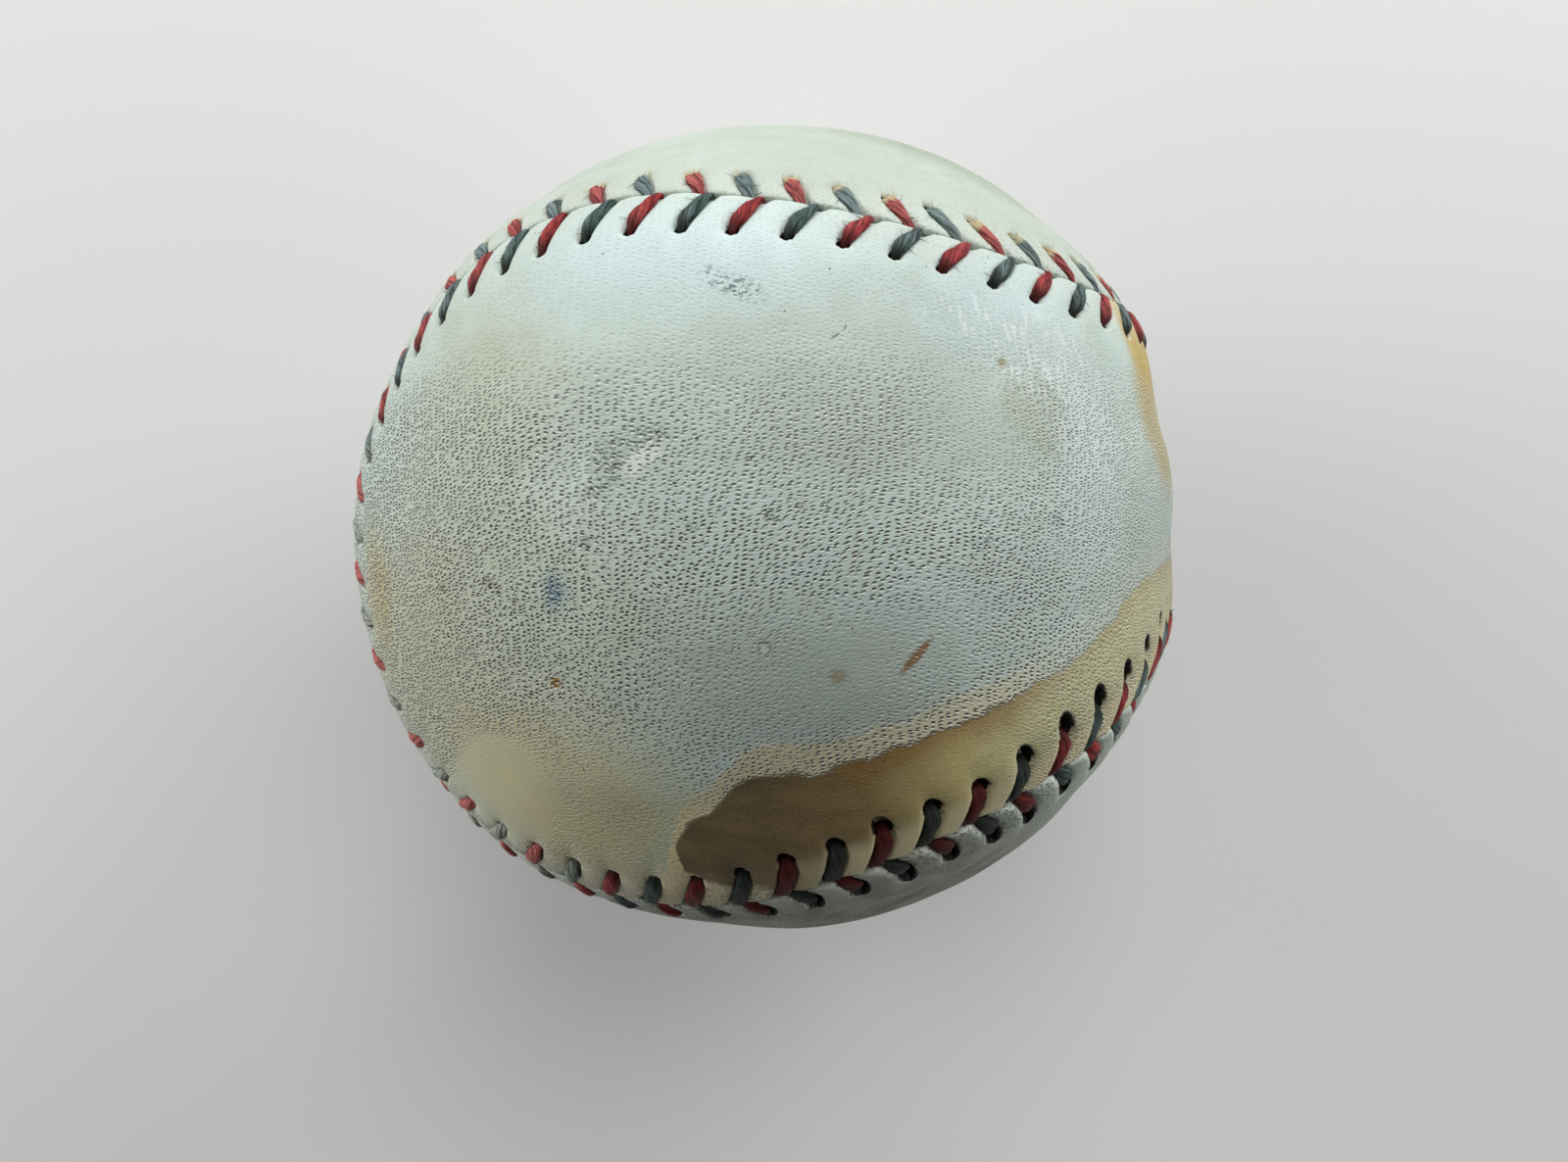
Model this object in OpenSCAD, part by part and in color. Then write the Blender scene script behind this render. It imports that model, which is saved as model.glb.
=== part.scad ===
// Baseball: a cushioned cork centre, three wool windings and a cotton one, and a cover of two
// leather panels, laced together by two threads that swap sides at every stitch.
// Millimetres. The origin is the centre of the ball, and +Z is up as the ball lies.

/* [Centre] */
// Diameter of the ball of cork and rubber in the middle
cork_d = 20.6; // [17:0.2:24]
// Wall of the two black rubber half shells
black_wall = 4; // [2.5:0.1:5]
// Thickness of the red rubber washer between the half shells
gasket_t = 0.8; // [0.4:0.1:1.6]
// Wall of the red rubber layer moulded round the half shells
red_wall = 2.4; // [1.5:0.1:3.5]

/* [Windings] */
// Wall of the first winding, thick grey wool
first_wool_wall = 13.9; // [10:0.1:16]
// Wall of the second winding, white wool
second_wool_wall = 1.8; // [1:0.1:3]
// Wall of the third winding, fine grey wool
third_wool_wall = 2.2; // [1:0.1:3.5]
// Wall of the finishing winding of cotton
cotton_wall = 0.5; // [0.3:0.05:1]
// Coat of rubber cement that holds the cover down
cement_wall = 0.15; // [0.1:0.05:0.3]
// Clearance between one layer and the next
layer_fit = 0.02; // [0.01:0.01:0.05]

/* [Cover] */
// Thickness of the leather
leather_t = 1.2; // [1:0.05:1.6]
// Width of a panel at its waist, measured over the ball
waist_w = 29.4; // [26:0.2:33]
// How far the seam swings to the side between waist and lobe, in degrees
seam_swing = 23; // [21:0.5:24.5]
// How far the seam is squared up at the waists and lobes, in degrees
seam_square = 2.4; // [0:0.1:4]
// Gap between the edges of the two panels
seam_gap = 0.5; // [0.4:0.05:0.8]
// Length over which a raised edge falls back to the rest of the cover
ridge_run = 7; // [5:0.25:7.5]
// Room left over the thread that runs under a raised edge
ridge_slack = 0.55; // [0.4:0.05:0.8]

/* [Stitching] */
// Number of stitches in each thread
stitch_count = 108; // [96:2:116]
// Distance of the stitch holes from the middle of the seam
hole_inset = 3.4; // [3:0.1:4]
// How far a hole lies behind the place where its stitch enters the seam
hole_lag = 1.7; // [1.2:0.05:2.1]
// Diameter of the stitch holes
hole_d = 1.2; // [1.1:0.05:1.4]
// Width of a thread where it lies flat on the leather
thread_w = 1.5; // [1.1:0.05:1.7]
// Thickness of a thread where it lies flat on the leather
thread_t = 0.65; // [0.5:0.05:0.8]
// Clearance between a thread and what it lies against
thread_fit = 0.06; // [0.05:0.01:0.08]

/* [Lie] */
// Turn of the ball about X as it lies, in degrees
lie_x = 4.7; // [-180:0.1:180]
// Turn of the ball about Y as it lies, in degrees
lie_y = -4.2; // [-180:0.1:180]
// Turn of the ball about Z as it lies, in degrees
lie_z = 7.4; // [-180:0.1:180]

/* [Hidden] */

// Facets of the round layers
$fn = 180;
// Extra length that a cut runs past what it cuts
overrun = 1;

// Outer radius of each layer, from the middle outwards
cork_r = cork_d / 2;
black_in_r = cork_r + layer_fit;
black_r = black_in_r + black_wall;
red_in_r = black_r + layer_fit;
red_r = red_in_r + red_wall;
first_in_r = red_r + layer_fit;
first_r = first_in_r + first_wool_wall;
second_in_r = first_r + layer_fit;
second_r = second_in_r + second_wool_wall;
third_in_r = second_r + layer_fit;
third_r = third_in_r + third_wool_wall;
cotton_in_r = third_r + layer_fit;
cotton_r = cotton_in_r + cotton_wall;
cement_in_r = cotton_r + layer_fit;
cement_r = cement_in_r + cement_wall;
cover_in_r = cement_r + layer_fit;
cover_r = cover_in_r + leather_t;

// The leather is lifted along the seam by the threads that run under it
ridge_h = thread_t + ridge_slack;
// Height of the raised edge at the gap and at the holes, against its crest
edge_share = 0.88;
hole_share = 0.92;
// Height halfway down its fall to the rest of the cover
fall_share = 0.36;
// Place of the crest between the seam and the holes, and of the halfway point along the fall
crest_share = 0.45;
halfway_share = 0.45;
// Leather left beyond the holes before the raised edge falls away
hole_margin = 0.4;
edge_d = seam_gap / 2;
crest_d = hole_inset * crest_share;
shoulder_d = hole_inset + hole_d / 2 + hole_margin;
halfway_d = shoulder_d + ridge_run * halfway_share;
foot_d = shoulder_d + ridge_run;
// Height of the leather's outer face over cover_r, by distance from the seam
rise = [[edge_d, ridge_h * edge_share], [crest_d, ridge_h], [shoulder_d, ridge_h * hole_share],
    [halfway_d, ridge_h * fall_share], [foot_d, 0]];

// Half the angle that the waist spans at the centre of the ball
waist_half_a = waist_w / 2 / cover_r * 180 / PI;
// The seam's parameter runs through two full turns, in this many steps
seam_steps = 720;
seam_end_a = 2 * 360;
seam_step_a = seam_end_a / seam_steps;
// Points along the edge of a panel, and steps across it between the raised edges
edge_points = 88;
across_steps = 7;
// How far the hollow under the raised edge runs out below the inner face, against the leather
run_out_share = 0.25;

// Where the first stitch enters the seam, as a share of the distance between stitches
first_stitch_share = 0.7;
// Facets of a stitch hole, and sides of a thread
hole_facets = 16;
thread_sides = 5;
// Half of a thread's width in a hole, and in the seam, where it lies beside its partner
hole_half = hole_d / 2 - thread_fit;
seam_half = thread_t / 2;
// Half of its thickness where the two panels squeeze it
squeezed_half = edge_d - 2 * thread_fit;
// Distance between the two threads where both enter the seam
partner_step = 2 * seam_half + thread_fit;
// Thickness of a thread where it turns down into the seam, against the rest of it
tuck_share = 0.7;
// Radius of a thread's middle under the leather, over a hole, on the crest and over the seam
bed_r = cement_r + thread_fit + thread_t / 2;
hole_top_r = leather_top(hole_inset) + thread_fit + thread_t / 2;
crest_top_r = leather_top(crest_d) + thread_fit + thread_t / 2;
seam_top_r = leather_top(edge_d) + thread_fit + tuck_share * thread_t / 2;

// Direction of the seam from the centre of the ball. The waist of panel a lies on +X and its
// lobes lie on +Z and -Z. The waist of panel b lies on -X and its lobes on +Y and -Y.
function seam_rise_a(u) = (90 - waist_half_a + seam_square) * cos(u) - seam_square * cos(3 * u);
function seam_turn_a(u) = u / 2 + seam_swing * sin(2 * u);
function seam_dir(u) = let (a = seam_rise_a(u), b = seam_turn_a(u))
    [sin(a), cos(a) * cos(b), -cos(a) * sin(b)];

// Length along the seam, paired with the parameter
seam_table = [for (u = 0, run = 0; u <= seam_end_a;
    run = run + cover_r * norm(seam_dir(u + seam_step_a) - seam_dir(u)), u = u + seam_step_a)
    [run, u]];
seam_len = seam_table[len(seam_table) - 1][0];
pitch = seam_len / stitch_count;

// Length along the seam at which stitch j enters it
function seam_s(j) = (j + first_stitch_share) * pitch;

function unit(v) = v / norm(v);
function wrap(s) = s - seam_len * floor(s / seam_len);
function seam_u(s) = lookup(wrap(s), seam_table);

// Axes at length s along the seam and distance d across it, both measured over the ball, with
// d counted towards panel a: along the seam, out of the ball, and across the seam
function place(s, d) = let (u = seam_u(s), a = d / cover_r * 180 / PI, seam_out = seam_dir(u),
    along = unit(seam_dir(u + seam_step_a) - seam_dir(u - seam_step_a)),
    out = cos(a) * seam_out + sin(a) * cross(along, seam_out))
    [along, out, cross(along, out)];
function along_at(axes) = axes[0];
function out_at(axes) = axes[1];
function across_at(axes) = axes[2];

// Radius of the leather's outer face at distance d from the seam
function leather_top(d) = cover_r + lookup(abs(d), rise);

// Great-circle arc between two directions
function arc_dir(a, b, share) = let (w = acos(a * b))
    (sin((1 - share) * w) * a + sin(share * w) * b) / sin(w);

module ball(r) {
    sphere(r = r);
}

module layer(inner_r, outer_r) {
    difference() {
        ball(outer_r);
        ball(inner_r);
    }
}

module as_it_lies() {
    rotate([lie_x, lie_y, lie_z])
        children();
}

module cork_centre() {
    color("#a9713f")
        ball(cork_r);
}

// One black half shell, above the washer
module black_half_shell() {
    difference() {
        ball(black_r);
        ball(black_in_r);
        translate([-black_r - overrun, -black_r - overrun, -black_r - overrun])
            cube([2 * (black_r + overrun), 2 * (black_r + overrun),
                black_r + overrun + gasket_t / 2 + layer_fit]);
    }
}

module black_rubber_shell_upper() {
    color("#26282b")
        black_half_shell();
}

module black_rubber_shell_lower() {
    color("#26282b")
        mirror([0, 0, 1])
            black_half_shell();
}

// Washer that seals the joint between the half shells, flush with their outside
module rubber_gasket() {
    color("#b5362c")
        intersection() {
            layer(black_in_r, black_r);
            translate([-black_r, -black_r, -gasket_t / 2])
                cube([2 * black_r, 2 * black_r, gasket_t]);
        }
}

module red_rubber_layer() {
    color("#a8322b")
        layer(red_in_r, red_r);
}

module first_wool_winding() {
    color("#8d8f90")
        layer(first_in_r, first_r);
}

module second_wool_winding() {
    color("#e9e4d6")
        layer(second_in_r, second_r);
}

module third_wool_winding() {
    color("#9b9c99")
        layer(third_in_r, third_r);
}

module cotton_finish_winding() {
    color("#efeadc")
        layer(cotton_in_r, cotton_r);
}

module cement_coat() {
    color("#d9c48f")
        layer(cement_in_r, cement_r);
}

// The solid over one panel, from the centre of the ball out to the leather's outer face, and
// hollowed under the raised edge. side is 1 for panel a and -1 for panel b, and start is the
// length along the seam at the tip of one of its lobes.
module panel_blank(side, start) {
    n = edge_points;
    half = n / 2;
    top_d = [for (r = rise) r[0]];
    // The hollow runs out a little below the inner face, so that the two cross at an angle
    under = [[edge_d, leather_top(edge_d) - leather_t],
        [shoulder_d, leather_top(shoulder_d) - leather_t],
        [halfway_d, cover_in_r - run_out_share * leather_t]];
    function edge_dir(i, d) = out_at(place(start + seam_len * i / n, side * d));
    top_rings = [for (d = top_d, i = [0:n - 1]) leather_top(d) * edge_dir(i, d)];
    under_rings = [for (ring = under, i = [0:n - 1]) ring[1] * edge_dir(i, ring[0])];
    rungs = [for (i = [1:half - 1]) let (a = edge_dir(i, foot_d), b = edge_dir(n - i, foot_d))
        each [for (k = [1:across_steps - 1]) cover_r * arc_dir(a, b, k / across_steps)]];
    points = concat(top_rings, rungs, under_rings, [[0, 0, 0]]);
    foot_0 = (len(top_d) - 1) * n;
    rung_0 = foot_0 + n;
    under_0 = rung_0 + (half - 1) * (across_steps - 1);
    under_last = under_0 + (len(under) - 1) * n;
    centre = under_last + n;
    // Number of the point at step k of rung i, where the first and last rung are single points
    function rung(i, k) = i == 0 || i == half || k == 0 ? foot_0 + i
        : k == across_steps ? foot_0 + n - i
        : rung_0 + (i - 1) * (across_steps - 1) + k - 1;
    // Triangles between two rings of points that start at numbers a and b
    function strip(a, b) = [for (i = [0:n - 1]) let (j = (i + 1) % n)
        each [[a + i, b + i, a + j], [a + j, b + i, b + j]]];
    ladder = [for (i = [0:half - 1], k = [0:across_steps - 1])
        let (a = rung(i, k), b = rung(i, k + 1), c = rung(i + 1, k), d = rung(i + 1, k + 1))
        each [if (a != b) [a, b, c], if (c != d) [c, b, d]]];
    cone = [for (i = [0:n - 1]) [centre, under_last + i, under_last + (i + 1) % n]];
    top = [for (j = [0:len(top_d) - 2]) each strip(j * n, (j + 1) * n)];
    hollow = [for (j = [1:len(under) - 1]) each strip(under_0 + j * n, under_0 + (j - 1) * n)];
    faces = concat(top, ladder, strip(under_0, 0), hollow, cone);
    polyhedron(points, side < 0 ? faces : [for (f = faces) [f[2], f[1], f[0]]]);
}

// Pins that punch one panel's stitch holes, square to the leather
module hole_pins(side) {
    for (j = [0:stitch_count - 1]) {
        out = out_at(place(seam_s(j) - hole_lag, side * hole_inset));
        rotate([0, acos(out[2]), atan2(out[1], out[0])])
            translate([0, 0, cover_in_r - overrun])
                cylinder(h = leather_t + ridge_h + 2 * overrun, d = hole_d, $fn = hole_facets);
    }
}

// One panel of the cover. The poles of the ball that hollows it are turned towards the other
// panel's lobes, where none of this panel's inner face meets them.
module cover_panel(side, start, pole_turn) {
    as_it_lies()
        difference() {
            panel_blank(side, start);
            rotate([pole_turn, 0, 0])
                ball(cover_in_r);
            hole_pins(side);
        }
}

module cover_panel_a() {
    color("#dcdccb")
        cover_panel(1, seam_len / 4, 90);
}

module cover_panel_b() {
    color("#e6e6d8")
        cover_panel(-1, 0, 0);
}

// Rings of a thread through stitch j, each a centre and two half axes. It comes up through a
// hole on the given side, crosses the leather to the seam and goes down between the panels.
function stitch(j, side) = let (
    hole = place(seam_s(j) - hole_lag, side * hole_inset),
    crest = place(seam_s(j) - hole_lag * crest_share, side * crest_d),
    seam = place(seam_s(j) + side * partner_step / 2, 0),
    leg_wide = unit(hole_inset * along_at(crest) + side * hole_lag * across_at(crest)),
    hole_wide = hole_half * along_at(hole),
    hole_back = -hole_half * across_at(hole),
    hole_up = side * thread_t / 2 * out_at(hole),
    crest_up = side * thread_t / 2 * out_at(crest),
    seam_wide = seam_half * along_at(seam),
    seam_back = squeezed_half * across_at(seam),
    seam_up = side * thread_t / 2 * out_at(seam))
    [[bed_r * out_at(hole), hole_wide, hole_back + hole_up],
    [hole_top_r * out_at(hole), hole_wide, hole_back - hole_up],
    [crest_top_r * out_at(crest), thread_w / 2 * leg_wide, -crest_up],
    [seam_top_r * out_at(seam), seam_wide, seam_back - tuck_share * seam_up],
    [bed_r * out_at(seam), seam_wide, seam_back - seam_up]];

// One thread, from the hole of its first stitch to the seam at its last. Its side at the first
// stitch is 1 for panel a and -1 for panel b, and it swaps sides at every stitch after that.
module thread(first_side) {
    n = thread_sides;
    rings = [for (j = [0:stitch_count - 1]) each stitch(j, j % 2 == 0 ? first_side : -first_side)];
    last = len(rings) - 1;
    points = [for (ring = rings, k = [0:n - 1])
        ring[0] + cos(360 * k / n) * ring[1] + sin(360 * k / n) * ring[2]];
    walls = [for (i = [0:last - 1], k = [0:n - 1]) let (a = i * n, b = a + n, m = (k + 1) % n)
        each [[a + k, b + k, a + m], [a + m, b + k, b + m]]];
    ends = [for (k = [1:n - 2]) each [[0, k, k + 1], [last * n, last * n + k + 1, last * n + k]]];
    as_it_lies()
        polyhedron(points, concat(walls, ends));
}

module red_thread() {
    color("#a3262b")
        thread(-1);
}

module dark_thread() {
    color("#36443f")
        thread(1);
}

cork_centre();
black_rubber_shell_upper();
black_rubber_shell_lower();
rubber_gasket();
red_rubber_layer();
first_wool_winding();
second_wool_winding();
third_wool_winding();
cotton_finish_winding();
cement_coat();
cover_panel_a();
cover_panel_b();
red_thread();
dark_thread();
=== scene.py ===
import random
from bisect import bisect_right
from math import copysign, cos, exp, hypot, pi, radians, sin, sqrt

import bmesh
import bpy
from mathutils import Euler, Matrix, Vector, noise


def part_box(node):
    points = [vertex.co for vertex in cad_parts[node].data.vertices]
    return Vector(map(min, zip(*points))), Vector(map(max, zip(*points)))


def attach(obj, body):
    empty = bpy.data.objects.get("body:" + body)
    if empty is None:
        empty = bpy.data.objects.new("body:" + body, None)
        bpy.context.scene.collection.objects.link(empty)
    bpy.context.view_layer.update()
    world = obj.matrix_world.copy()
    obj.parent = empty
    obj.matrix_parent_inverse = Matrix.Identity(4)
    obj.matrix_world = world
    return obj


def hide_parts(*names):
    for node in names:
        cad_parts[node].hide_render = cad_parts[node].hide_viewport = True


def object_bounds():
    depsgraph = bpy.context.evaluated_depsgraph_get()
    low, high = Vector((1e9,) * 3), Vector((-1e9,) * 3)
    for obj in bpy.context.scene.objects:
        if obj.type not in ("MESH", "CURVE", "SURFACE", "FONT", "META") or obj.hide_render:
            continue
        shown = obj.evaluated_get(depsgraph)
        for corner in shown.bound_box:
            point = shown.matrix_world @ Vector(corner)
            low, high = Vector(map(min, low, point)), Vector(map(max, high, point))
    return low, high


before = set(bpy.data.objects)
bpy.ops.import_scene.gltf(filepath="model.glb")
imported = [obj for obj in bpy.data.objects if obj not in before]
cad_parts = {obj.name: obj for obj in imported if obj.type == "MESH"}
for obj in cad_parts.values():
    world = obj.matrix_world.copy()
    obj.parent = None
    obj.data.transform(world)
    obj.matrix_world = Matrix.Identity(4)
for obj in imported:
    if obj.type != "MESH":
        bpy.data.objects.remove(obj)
cad_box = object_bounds()

MM = 0.001

# Cover, with the cement coat's own radius read from the frame
cement_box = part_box("cement_coat")
CEMENT_R = (cement_box[1].x - cement_box[0].x) / 2
LAYER_FIT = 0.02 * MM
LEATHER_T = 1.2 * MM
COVER_IN_R = CEMENT_R + LAYER_FIT
COVER_R = COVER_IN_R + LEATHER_T

# Seam
WAIST_W = 29.4 * MM
SEAM_SWING = radians(23)
SEAM_SQUARE = radians(2.4)
SEAM_STEPS = 720
SEAM_STEP = 4 * pi / SEAM_STEPS
LIE = Euler((radians(4.7), radians(-4.2), radians(7.4))).to_matrix()

# Raised leather along the seam
RIDGE_H = 1.2 * MM
RIDGE_FOOT = 11.4 * MM
RIDGE_SHOULDER = 3 * MM
EDGE_ROUND = 0.5 * MM
EDGE_SKIRT = 1.05 * MM
FLUSH = 0.35

# Stitches
STITCHES = 108
FIRST_STITCH = 0.7
HOLE_INSET = 3.4 * MM
HOLE_LAG = 1.7 * MM
PARTNER_STEP = 0.9 * MM

# View, in the 1600 by 1186 frame
CAMERA_AT = Vector((1.19, -4.71, 132.3)) * MM
SENSOR_W = 36
VIEW_W = 1600
VIEW_H = 1186
FOCAL_PX = 1424.08


def smooth(low, high, x):
    """0 below low, 1 above high, and an even curve between them."""
    t = min(max((x - low) / (high - low), 0), 1)
    return t * t * (3 - 2 * t)


def blend(a, b, share):
    return a + (b - a) * share


def at_pixel(px, py):
    """Place on the leather that shows at a pixel of the view."""
    ray = Vector(((px - VIEW_W / 2) / FOCAL_PX, (VIEW_H / 2 - py) / FOCAL_PX, -1)).normalized()
    nearest = -CAMERA_AT.dot(ray)
    miss = CAMERA_AT.length_squared - nearest ** 2
    return CAMERA_AT + ray * (nearest - sqrt(max(COVER_R ** 2 - miss, 0)))


def placed(name, data):
    """A new object of the scene."""
    made = bpy.data.objects.new(name, data)
    bpy.context.collection.objects.link(made)
    return made


camera = placed("camera", bpy.data.cameras.new("camera"))
camera.location = CAMERA_AT
camera.data.sensor_width = SENSOR_W
camera.data.lens = FOCAL_PX / VIEW_W * SENSOR_W
camera.data.clip_start = 0.01
bpy.context.scene.camera = camera


# Seam

def seam_dir(u):
    """Direction of the seam from the centre of the ball."""
    waist_half = WAIST_W / 2 / COVER_R
    rise = (pi / 2 - waist_half + SEAM_SQUARE) * cos(u) - SEAM_SQUARE * cos(3 * u)
    turn = u / 2 + SEAM_SWING * sin(2 * u)
    return LIE @ Vector((sin(rise), cos(rise) * cos(turn), -cos(rise) * sin(turn)))


def seam_table():
    """Length along the seam at each step of its parameter."""
    runs = [0.0]
    for i in range(SEAM_STEPS):
        runs.append(runs[-1] + COVER_R * (seam_dir((i + 1) * SEAM_STEP) - seam_dir(i * SEAM_STEP)).length)
    return runs


SEAM_RUNS = seam_table()
SEAM_LEN = SEAM_RUNS[-1]
PITCH = SEAM_LEN / STITCHES


def seam_axes(s):
    """Directions at length s of the seam: out of the ball, and across towards panel a."""
    s %= SEAM_LEN
    i = min(bisect_right(SEAM_RUNS, s) - 1, SEAM_STEPS - 1)
    u = (i + (s - SEAM_RUNS[i]) / (SEAM_RUNS[i + 1] - SEAM_RUNS[i])) * SEAM_STEP
    along = (seam_dir(u + SEAM_STEP) - seam_dir(u - SEAM_STEP)).normalized()
    out = seam_dir(u)
    return out, along.cross(out)


# Relief of the leather

# What is drawn by lot for each stitch, and its range: how deep its leg is pulled in, its place along
# the seam, how far its hole gapes, how its fold lies, and how strongly the leather puckers
DRAWN = (("pull", 0.75, 1.25), ("shift", -0.12, 0.12), ("reach", 0.6, 1.4), ("skew", -0.35, 0.35),
         ("pucker", 0.3, 1.3))


def stitch_draws(seed):
    """How each stitch of one side departs from the next, all from one seed."""
    draw = random.Random(seed)
    return [{label: draw.uniform(low, high) for label, low, high in DRAWN} for _ in range(STITCHES)]


DRAWS = {1: stitch_draws(11), -1: stitch_draws(12)}


def looseness(out):
    """The stitches stand tight at the top and left of the view, and gape at the lower right."""
    return smooth(0.15, -0.65, out.y - 0.35 * max(out.x, 0)) * smooth(-0.3, 0.2, out.x)


def lowness(out):
    """0 at the upper seam in the view, 1 at the lower."""
    return smooth(0.2, -0.4, out.y)


def leg_s(side, j, away, share):
    """Length along the seam of a line that runs beside leg j, at a share of the way to its hole."""
    shift = DRAWS[side][j % STITCHES]["shift"] * MM * (1 - (2 * away / PITCH) ** 2)
    lag = HOLE_LAG * share * (1.6 - 0.6 * share)
    return (j + FIRST_STITCH) * PITCH + away + shift - lag + side * PARTNER_STEP / 2 * (1 - share)


# Where the lacing has been drawn off its even course: stitch, then millimetres along and across
# the seam, towards panel a, for panel a's holes, the crease and panel b's holes
NUDGES = (
    (56, 0, 0, 0, 0, 0, 0), (58, 0, -0.9, 0, -0.5, 0, 0), (60, 0, -1, -0.3, -0.9, 0, 0.2),
    (62, 0.1, -0.9, 0, -0.7, 0, -0.2), (64, 0, -0.1, 0, -0.2, 0.1, 0.7), (66, 0, 0.4, 0, -0.1, 0.3, 0.9),
    (68, 0, -0.1, 0.2, -0.7, 0.3, 0.5), (70, 0, -0.2, 0.3, -1.1, 0.5, 0), (72, 0, 0, 0.3, -1.4, 0.5, 0),
    (80, 0, -0.3, 0, -0.9, 0, -0.4), (85, -0.1, -0.3, 0, -0.7, 0, -0.5), (88, -0.2, -0.3, -0.2, -0.7, 0, 0),
    (91, 0, 0, -0.6, -0.7, 0, 0.2), (93, 0.2, 0.1, -0.1, -0.6, -0.3, 0.1), (95, 0.3, 0.2, 0, -0.1, 0, 0.4),
    (97, 0.5, 0.1, 0.4, 0.2, -0.3, 0.7), (99, 0.1, 0.2, 0.6, 0.3, -0.8, 0.8),
    (101, -0.2, 0.3, 0.3, 0.4, -0.6, 1), (103, 0, 0, 0.3, 0.2, -0.6, 0.9), (106, 0, 0, 0, 0, 0, 0))
NUDGE_AT = [row[0] for row in NUDGES]


def drawn(side, s, d):
    """Direction at length s and distance d from the crease on one side, as the lacing has drawn it."""
    j = s % SEAM_LEN / PITCH - FIRST_STITCH
    along = across = 0
    if NUDGE_AT[0] < j < NUDGE_AT[-1]:
        i = bisect_right(NUDGE_AT, j) - 1
        share = smooth(NUDGE_AT[i], NUDGE_AT[i + 1], j)
        out_share = min(max(d / HOLE_INSET, 0), 1)
        rest = 1 - smooth(HOLE_INSET, RIDGE_FOOT, d)
        low, high = NUDGES[i], NUDGES[i + 1]
        crease, at_hole = 3, 1 if side > 0 else 5
        along, across = (
            rest * MM * blend(blend(low[crease + k], low[at_hole + k], out_share),
                              blend(high[crease + k], high[at_hole + k], out_share), share) for k in (0, 1))
    out, over = seam_axes(s + along)
    turn = (side * d + across) / COVER_R
    return cos(turn) * out + sin(turn) * over


# Where the worn ball departs from round: pixel in the view, reach and height in millimetres
SWELLS = (((1017, 203), 12, 0.75), ((1185, 467), 8, 0.45), ((1178, 644), 9, -0.65), ((429, 334), 12, -0.7),
          ((678, 933), 9, -0.4), ((1072, 827), 8, 0.4), ((1172, 400), 4.5, -0.5), ((1103, 270), 5, -0.55),
          ((1145, 747), 5, -0.62), ((1192, 611), 5, -0.45))
SWELL_AT = [(at_pixel(*p).normalized(), reach * MM / COVER_R, height) for p, reach, height in SWELLS]

# Broad and fine lumps of the cover: height in millimetres, and how close they stand
LUMPS = ((0.11, 3.1), (0.05, 9.7))


def swell(out):
    """Slow unevenness of the whole cover."""
    height = sum(rise * noise.noise(out * close) for rise, close in LUMPS)
    for centre, reach, rise in SWELL_AT:
        height += rise * exp(-((out - centre).length / reach) ** 2)
    return height * MM


def ridge(d):
    return RIDGE_H * (1 - smooth(RIDGE_SHOULDER, RIDGE_FOOT, d))


# How the leather lies at a tight stitch and at one that gapes, in millimetres
GROOVE_HALF_W = (0.6, 0.8)
GROOVE_DEPTH = (0.3, 0.5)
HOLE_SHIFT = (-0.15, 0.5)
HOLE_HALF_L = (0.42, 1.0)
HOLE_HALF_W = (0.44, 0.62)
HOLE_DEPTH = (0.7, 1.2)
PUFF_H = (0.12, 0.42)
FRAY_H = (0.03, 0.1)
DENT_DEPTH = 0.1
FOLD_DEPTH = 0.05


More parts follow.
